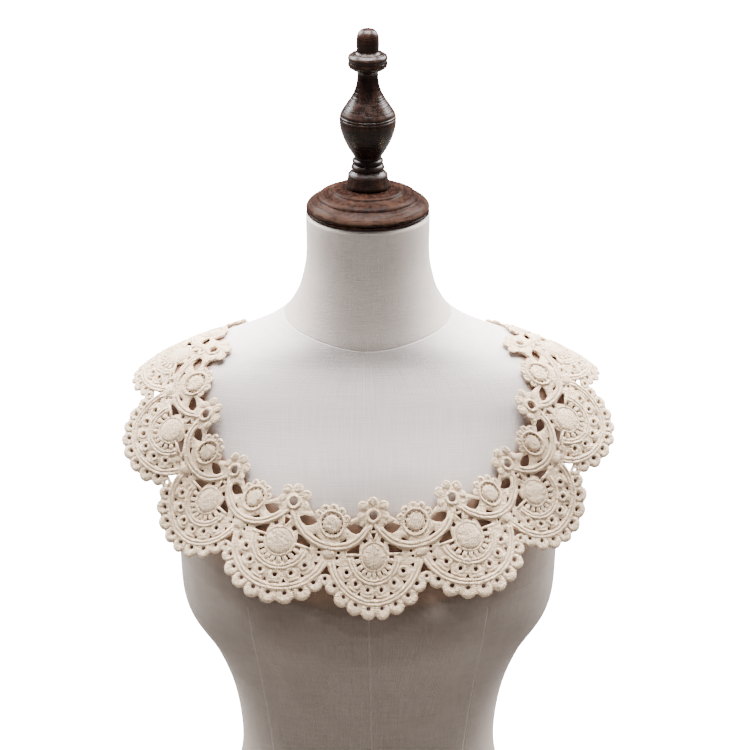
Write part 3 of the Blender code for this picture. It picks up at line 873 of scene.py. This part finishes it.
def medallion_lobes(shade_sheet=False):
    work = Stitching()
    if shade_sheet:
        # Dark sheets under the holes, as painted shade
        for lobe in HEM_LOBES:
            work.floor(around((0, 0), lobe.reach - LOBE_LEAN, lobe.angle), LOBE_HOLE + 1)
        for angle in EYELET_ANGLES:
            work.floor(around((0, 0), EYELET_CIRCLE, angle), EYELET_HOLE + 1)
        for angle in SLIT_ANGLES:
            work.floor(around((0, 0), 35.2, angle), 3.2)
    for lobe in HEM_LOBES:
        width = lobe.radius - LOBE_HOLE
        ring = Ring(LOBE_HOLE + width / 2, -180, 180, width, 2.5)
        work.ring(around((0, 0), lobe.reach, lobe.angle), ring, level=1.7,
                  lean=around((0, 0), -LOBE_LEAN, lobe.angle), flat=0.5)
    for angle in EYELET_ANGLES:
        ring = Ring(EYELET_HOLE + 1.8, -180, 180, 3.6, 2.2)
        work.ring(around((0, 0), EYELET_CIRCLE, angle), ring, level=1.8)
    for left, right in zip(SLIT_ANGLES, SLIT_ANGLES[1:]):
        middle = (left + right) / 2
        work.puff(around((0, 0), 35.0, middle), 5.4, 1.9, 1.0, turn=middle)
    return work.done("medallion lobes")


def valley_lobe():
    work = Stitching()
    width = VALLEY_LOBE_RADIUS - 1.4
    ring = Ring(1.4 + width / 2, -180, 180, width, 2.4)
    work.ring((0, -VALLEY_LOBE_DROP), ring, level=1.7, lean=(0, 0.9), flat=0.5)
    return work.done("valley lobe")


def medallion_flowers():
    work = Stitching()
    work.cushion((0, 0), 11.9, 2.7)
    work.ring(FLOWER, Ring(5.3, -180, 180, 3.4, 2.8))
    for petal in FLOWER_PETALS:
        middle = around(FLOWER, petal.reach, petal.angle)
        work.puff(middle, petal.radius * 0.75, petal.radius * 0.8, 0.9, turn=petal.angle)
        work.ring(middle, Ring(petal.radius - 1.4, petal.angle - 155, petal.angle + 155, 2.7, 2.2), level=1.7)
    return work.done("medallion flowers")


def rose_flowers():
    work = Stitching()
    work.cushion(ROSE, 7.4, 2.5, steps=26, stretch=1.07)
    for petal in ROSE_PETALS:
        middle = around(ROSE, petal.reach, petal.angle)
        work.ring(middle, Ring(petal.radius - 1.5, -180, 180, 2.9, 1.9), level=1.7)
    work.puff(KNOT, 6.2, 4.6, 1.5, level=1.8)
    return work.done("rose flowers")


def gap_circle(bm, centre, radius, segments=10):
    bmesh.ops.create_circle(bm, segments=segments, radius=radius, matrix=Matrix.Translation((*centre, 0)))


def gap_loop(bm, points):
    corners = [bm.verts.new((x, y, 0)) for x, y in points]
    for pair in zip(corners, corners[1:] + corners[:1]):
        bm.edges.new(pair)


def arc_loop(centre, inner, outer, start, end):
    """A short slot between two radii round a centre."""
    middle = (start + end) / 2
    return [around(centre, radius, angle) for radius, angle in (
        (inner, start), (inner, middle), (inner, end), (outer, end), (outer, middle), (outer, start))]


def medallion_gaps():
    """The edges of all the gaps of one repeat."""
    bm = bmesh.new()
    gap_circle(bm, FLOWER, 3.7, 12)
    for points in (CROWN_GAP, CROWN_SLIT):
        gap_loop(bm, points)
    for points in (TEMPLE_GAP, WING_GAP, LEAF_GAP):
        for side in (-1, 1):
            gap_loop(bm, [(side * x, y) for x, y in points])
    for angle in SPOKE_GAP_ANGLES:
        inner, outer = (14.0, 18.6) if abs(angle) > 40 else (14.4, 17.6)
        gap_loop(bm, arc_loop((0, 0), inner, outer, angle - 5, angle + 5))
    for angle in EYELET_ANGLES:
        gap_circle(bm, around((0, 0), EYELET_CIRCLE, angle), EYELET_HOLE + 0.3)
    for angle in SLIT_ANGLES:
        gap_loop(bm, [around((0, 0), reach, angle + off) for reach, off in ((32.6, 0), (36.6, -3.4), (36.6, 3.4))])
    for lobe in HEM_LOBES:
        gap_circle(bm, around((0, 0), lobe.reach - LOBE_LEAN, lobe.angle), LOBE_HOLE + 0.3)
    return bm


def rose_gaps():
    """The edges of the gaps between two repeats."""
    bm = bmesh.new()
    gap_loop(bm, VALLEY_GAP)
    gap_circle(bm, (0, 0.9 - VALLEY_LOBE_DROP), 1.7)
    for slit in range(ROSE_SLITS):
        angle = 360 * slit / ROSE_SLITS
        gap_loop(bm, arc_loop(ROSE, 7.8, 9.1, angle - 9.5, angle + 9.5))
    for angle in (120, 150, 180, 210, 240):
        gap_loop(bm, arc_loop(ROSE, 12.0, 13.0, angle - 7, angle + 7))
    for side in (-1, 1):
        gap_loop(bm, arc_loop(ROSE, 16.8, 19.4, side * SIDE_SLIT_ANGLE - 11, side * SIDE_SLIT_ANGLE + 11))
        for angle, reach in ((74, 8.0), (106, 8.6)):
            gap_circle(bm, around(KNOT, reach, side * angle), 1.5, 7)
    return bm


def hem_line(repeat):
    """The ground's hem under the lobes of one repeat, from left to right."""
    points = []
    for lobe in HEM_LOBES:
        centre = around((0, 0), lobe.reach, lobe.angle)
        for turn in (-52, -18, 18, 52):
            points.append(around(centre, lobe.radius - 1.2, lobe.angle * 0.9 + turn))
    valley = [around((0, -VALLEY_LOBE_DROP), VALLEY_LOBE_RADIUS - 1, turn) for turn in (-30, 0, 30)]
    return [cut_point(repeat - 0.5, *p) for p in valley[1:]] + [cut_point(repeat, *p) for p in points] + [
        cut_point(repeat + 0.5, *valley[0])]


def neck_line(repeat):
    """The ground's edge at the neckline of one repeat, from right to left."""
    points = []
    for side in (1, -1):
        rose = [(180, 16.4), (165, 15.0), (150, 16.4), (135, 14.8), (120, 15.8), (105, 13.4), (91, 12.6)]
        if side < 0:
            rose = rose[::-1]
        rose = [cut_point(repeat + side / 2, *around(ROSE, reach, -side * angle)) for angle, reach in rose]
        flower = [(88, 14.6), (110, 12.6), (133, 15.6), (156, 12.8), (180, 15.2)]
        if side < 0:
            flower = flower[-2::-1]
        flower = [cut_point(repeat, *around(FLOWER, reach, side * angle)) for angle, reach in flower]
        points += rose[:-1] + flower if side > 0 else flower + rose[1:-1]
    return points


def cut_point(repeat, x, y):
    """A flat point of one repeat as a point of the whole cut."""
    turn = repeat * PITCH_ANGLE + math.atan2(x, MEDALLION_CIRCLE - y)
    reach = math.hypot(x, MEDALLION_CIRCLE - y)
    return (reach * math.sin(turn), -reach * math.cos(turn))


def ground(name, repeats, node):
    """The stitched ground of a run of repeats, with its gaps, as one sheet."""
    given = settings().lace
    first, last = repeats[0], repeats[-1]
    medallion, rose = bpy.data.meshes.new("gaps"), bpy.data.meshes.new("rose gaps")
    for mesh, edges in ((medallion, medallion_gaps()), (rose, rose_gaps())):
        edges.to_mesh(mesh)
        edges.free()
    between = [k + 0.5 for k in repeats[:-1]]
    bm = laid_out((medallion, rose), (repeats, between))
    seam = 0.2 / MEDALLION_CIRCLE / PITCH_ANGLE
    ends = ((first - 0.5 + seam, ROSE[1] + 16.4), (first - 0.5 + seam, -VALLEY_LOBE_DROP - 4),
            (last + 0.5 - seam, -VALLEY_LOBE_DROP - 4), (last + 0.5 - seam, ROSE[1] + 16.4))
    ends = [cut_point(repeat, 0, rise) for repeat, rise in ends]
    hem = [point for repeat in repeats for point in hem_line(repeat)]
    neck = [point for repeat in reversed(repeats) for point in neck_line(repeat)]
    gap_loop(bm, [ends[1]] + hem[1:-1] + [ends[2], ends[3]] + neck[1:] + [ends[0]])
    bmesh.ops.triangle_fill(bm, use_beauty=True, use_dissolve=False, edges=bm.edges[:])
    for axis in (0, 1):
        values = [vert.co[axis] for vert in bm.verts]
        direction = Vector((1 - axis, axis, 0))
        count = int((max(values) - min(values)) / given.ground_grid * MM)
        for cut in range(1, count):
            place = min(values) + (max(values) - min(values)) * cut / count
            bmesh.ops.bisect_plane(bm, geom=bm.verts[:] + bm.edges[:] + bm.faces[:], dist=0.01,
                                   plane_co=direction * place, plane_no=direction)
    uv = bm.loops.layers.uv.new("weave")
    for face in bm.faces:
        for loop in face.loops:
            loop[uv].uv = loop.vert.co.xy
    if sum(face.normal.z for face in bm.faces) < 0:
        bmesh.ops.reverse_faces(bm, faces=bm.faces)
    wall = given.ground_thickness / MM
    bmesh.ops.solidify(bm, geom=bm.faces[:], thickness=-wall)
    low = min(vert.co.z for vert in bm.verts)
    bmesh.ops.translate(bm, vec=(0, 0, 0.2 - low), verts=bm.verts)
    bmesh.ops.recalc_face_normals(bm, faces=bm.faces)
    return worn_piece(name, bm, ground_cotton(), [node])


class LACE_COLLAR_OT_ground(bpy.types.Operator):
    """Makes the stitched ground of the lace with its gaps, front and back"""

    bl_idname = "lace_collar.ground"
    bl_label = "Lace ground"

    def execute(self, context):
        ground("lace_ground_front", FRONT[0], "collar_front")
        ground("lace_ground_back", BACK[0], "collar_back")
        return {"FINISHED"}


class LACE_COLLAR_OT_cords(bpy.types.Operator):
    """Makes the satin-stitched cords and the bars between them"""

    bl_idname = "lace_collar.cords"
    bl_label = "Cords and bars"

    def execute(self, context):
        motifs = (medallion_cords(), medallion_cords(shade_sheet=True), rose_cords())
        for side, places in (("front", FRONT), ("back", BACK)):
            worn_piece(f"lace_cords_{side}", laid_out(motifs, with_shade_sheets(places)), satin_cotton())
        return {"FINISHED"}


class LACE_COLLAR_OT_lobes(bpy.types.Operator):
    """Makes the scalloped lobes of the hem and the rims of the eyelets"""

    bl_idname = "lace_collar.lobes"
    bl_label = "Scallops and eyelets"

    def execute(self, context):
        motifs = (medallion_lobes(), medallion_lobes(shade_sheet=True), valley_lobe())
        for side, places in (("front", FRONT), ("back", BACK)):
            worn_piece(f"lace_lobes_{side}", laid_out(motifs, with_shade_sheets(places)), satin_cotton())
        return {"FINISHED"}


class LACE_COLLAR_OT_flowers(bpy.types.Operator):
    """Makes the padded discs, flowers, roses and knots"""

    bl_idname = "lace_collar.flowers"
    bl_label = "Discs, flowers, roses and knots"

    def execute(self, context):
        motifs = (medallion_flowers(), rose_flowers())
        for side, places in (("front", FRONT), ("back", BACK)):
            worn_piece(f"lace_flowers_{side}", laid_out(motifs, places), satin_cotton())
        return {"FINISHED"}


class LACE_COLLAR_OT_stage(bpy.types.Operator):
    bl_idname = "lace_collar.stage"
    bl_label = "Stage"

    def execute(self, context):
        given = settings().stage

        bm = bmesh.new()
        bmesh.ops.create_grid(bm, x_segments=1, y_segments=1, size=given.floor_size)
        mesh = bpy.data.meshes.new("floor")
        bm.to_mesh(mesh)
        bm.free()
        made, tree, _ = new_material("Pale floor", {
            "Roughness": 0.9, "Base Color": (0.12, 0.115, 0.11, 1), "Specular IOR Level": 0.0})
        glow = tree.nodes.new("ShaderNodeEmission")
        glow.inputs["Strength"].default_value = given.backdrop
        path = tree.nodes.new("ShaderNodeLightPath")
        mix = tree.nodes.new("ShaderNodeMixShader")
        tree.links.new(path.outputs["Is Camera Ray"], mix.inputs["Fac"])
        tree.links.new(tree.nodes["Principled BSDF"].outputs[0], mix.inputs[1])
        tree.links.new(glow.outputs[0], mix.inputs[2])
        tree.links.new(mix.outputs[0], tree.nodes["Material Output"].inputs["Surface"])
        mesh.materials.append(made)
        floor = bpy.data.objects.new("floor", mesh)
        context.scene.collection.objects.link(floor)

        world = bpy.data.worlds.new("Studio")
        world.use_nodes = True
        world.node_tree.nodes["Background"].inputs["Color"].default_value = (1, 1, 1, 1)
        world.node_tree.nodes["Background"].inputs["Strength"].default_value = given.fill
        context.scene.world = world
        for name, place, size, power in (
            ("top", (0, 0.12, 2.6), 1.4, given.top),
            ("left", (-1.45, 0.95, 1.95), 1.3, given.sides),
            ("right", (1.45, 0.95, 1.95), 1.3, given.sides),
        ):
            light = bpy.data.lights.new(name, "AREA")
            light.shape = "SQUARE"
            light.size = size
            light.energy = power
            lamp = bpy.data.objects.new(name, light)
            lamp.location = place
            aim = Vector((0, 0, 0.45)) - Vector(place)
            lamp.rotation_euler = aim.to_track_quat("-Z", "Y").to_euler()
            context.scene.collection.objects.link(lamp)

        camera = bpy.data.objects.new("camera", bpy.data.cameras.new("camera"))
        camera.data.sensor_width = 36
        camera.data.lens = given.lens
        camera.data.clip_end = 100
        tilt = given.elevation
        camera.location = (given.aim_side, -given.distance * math.cos(tilt),
                           given.aim_height + given.distance * math.sin(tilt))
        camera.rotation_euler = (math.pi / 2 - tilt, 0, 0)
        context.scene.collection.objects.link(camera)
        context.scene.camera = camera
        return {"FINISHED"}


def colour(name, description, *default):
    return FloatVectorProperty(name=name, description=description, subtype="COLOR", default=default)


def length(name, description, default):
    return FloatProperty(name=name, description=description, unit="LENGTH", default=default)


class DressFormSettings(bpy.types.PropertyGroup):
    linen_colour: colour("Linen", "Colour of the linen on the chest", 0.60, 0.545, 0.536)
    # The lower and waist colours are painted shade of the torso below the collar
    lower_shade_colour: colour("Lower linen", "Colour of the linen below the collar, darkened as painted shade", 0.325, 0.268, 0.234)
    waist_shade_colour: colour("Waist linen", "Colour of the linen at the waist and below, where the painted shade fades", 0.36, 0.298, 0.262)
    # Painted shade of the neck
    neck_shade_colour: colour("Neck linen", "Colour of the neck panel's linen, darkened as painted shade", 0.46, 0.40, 0.368)
    aged_colour: colour("Aged linen", "Colour of the cloudy marks of age", 0.50, 0.44, 0.39)
    # Painted shadow of the lace on the linen under it
    lace_shadow_colour: colour("Painted lace shadow", "Colour of the painted shadow on the linen where the lace lies on it", 0.30, 0.19, 0.135)
    lace_shadow_reach: length("Lace shadow reach", "How far below the lace the painted shadow reaches", 0.06)
    # Painted shadow of the collar on the linen below its hem
    hem_shadow_colour: colour("Painted hem shadow", "Colour of the painted shadow on the linen just below the hem", 0.15, 0.10, 0.075)
    hem_shadow_reach: length("Hem shadow reach", "How far down the painted shadow under the hem fades out", 0.27)
    seam_width: length("Seam width", "Half the width of a seam in the linen", 0.0009)
    weave_pitch: length("Weave pitch", "Distance over two threads of the linen", 0.0012)
    sides: IntProperty(name="Sides", description="Faces round the torso", default=168)
    levels: IntProperty(name="Levels", description="Rings of points up the torso", default=190)


class WoodSettings(bpy.types.PropertyGroup):
    dark_colour: colour("Varnish", "Darkest colour of the varnished wood", 0.006, 0.0032, 0.0026)
    grain_colour: colour("Grain", "Lighter colour of the grain", 0.024, 0.0095, 0.0062)
    red_colour: colour("Warm patches", "Colour of the warmer patches", 0.036, 0.0138, 0.0085)
    worn_colour: colour("Worn edges", "Colour where the varnish is rubbed off", 0.036, 0.0188, 0.0125)
    sides: IntProperty(name="Sides", description="Faces round the turned wood", default=72)


class LaceSettings(bpy.types.PropertyGroup):
    cotton_colour: colour("Cotton", "Colour of the lace's cotton", 1.0, 0.71, 0.44)
    aged_colour: colour("Aged cotton", "Colour of the cotton where it has browned", 1.0, 0.66, 0.40)
    thread_colour: colour("Pale thread", "Colour of single paler threads", 1.0, 0.82, 0.60)
    # Painted shade in the lace's hollows, and the own colour of its brown specks
    recess_shade_and_speck_colour: colour("Painted hollow shade and specks", "Colour of the painted shade down between the raised threads and on the dark sheets, and of the brown specks", 0.17, 0.09, 0.05)
    stitch_pitch: length("Stitch pitch", "Distance between satin stitches", 0.0013)
    ground_pitch: length("Ground pitch", "Distance between stitches of the ground", 0.0019)
    ground_thickness: length("Ground thickness", "Thickness of the stitched ground", 0.0020)
    ground_grid: length("Ground faces", "Longest face of the ground", 0.006)
    unevenness: length("Unevenness", "How far the hand of the work strays from the drawing", 0.00045)


class StageSettings(bpy.types.PropertyGroup):
    distance: length("Camera distance", "From the camera to its aim", 3.5)
    elevation: FloatProperty(
        name="Camera elevation", description="Angle by which the camera looks down", subtype="ANGLE",
        default=math.radians(21.5))
    aim_side: length("Aim side", "Aim's place across", 0.0061)
    aim_height: length("Aim height", "Aim's height", 0.532)
    lens: FloatProperty(name="Lens", description="Focal length in millimetres", default=193.1)
    floor_size: length("Floor size", "Half the floor's width", 14)
    fill: FloatProperty(name="Fill", description="Strength of the even light from all round", default=0.30)
    top: FloatProperty(name="Top light", description="Power of the light from above", subtype="POWER", default=400)
    sides: FloatProperty(
        name="Side lights", description="Power of each light from the side", subtype="POWER", default=235)
    backdrop: FloatProperty(name="Backdrop", description="Brightness of the white backdrop", default=25)


class LaceCollarSettings(bpy.types.PropertyGroup):
    form: PointerProperty(type=DressFormSettings, name="Dress form", description="Sizes and colours of the form")
    wood: PointerProperty(type=WoodSettings, name="Wood", description="Colours of the turned wood")
    lace: PointerProperty(type=LaceSettings, name="Lace", description="Sizes and colours of the lace")
    stage: PointerProperty(type=StageSettings, name="Stage", description="Camera and light")


class LACE_COLLAR_PT_panel(bpy.types.Panel):
    """Lists the operators that build the lace collar and its stage"""

    bl_idname = "LACE_COLLAR_PT_panel"
    bl_label = "Lace collar"
    bl_space_type = "VIEW_3D"
    bl_region_type = "UI"
    bl_category = "Lace collar"

    def draw(self, context):
        for operator in OPERATORS:
            self.layout.operator(operator.bl_idname)
        for name in ("form", "wood", "lace", "stage"):
            group = getattr(context.scene.lace_collar, name)
            box = self.layout.box()
            box.label(text=name.capitalize())
            for prop in group.bl_rna.properties:
                if prop.identifier not in ("rna_type", "name"):
                    box.prop(group, prop.identifier)


OPERATORS = (
    LACE_COLLAR_OT_linen_cover,
    LACE_COLLAR_OT_turned_wood,
    LACE_COLLAR_OT_ground,
    LACE_COLLAR_OT_cords,
    LACE_COLLAR_OT_lobes,
    LACE_COLLAR_OT_flowers,
    LACE_COLLAR_OT_stage,
)
CLASSES = (
    DressFormSettings, WoodSettings, LaceSettings, StageSettings, LaceCollarSettings, LACE_COLLAR_PT_panel,
) + OPERATORS


def register():
    for cls in CLASSES:
        bpy.utils.register_class(cls)
    bpy.types.Scene.lace_collar = PointerProperty(type=LaceCollarSettings)


def unregister():
    del bpy.types.Scene.lace_collar
    for cls in reversed(CLASSES):
        bpy.utils.unregister_class(cls)


def main():
    register()
    bpy.ops.lace_collar.linen_cover()
    bpy.ops.lace_collar.turned_wood()
    bpy.ops.lace_collar.ground()
    bpy.ops.lace_collar.cords()
    bpy.ops.lace_collar.lobes()
    bpy.ops.lace_collar.flowers()
    bpy.ops.lace_collar.stage()


if __name__ == "__main__":
    main()
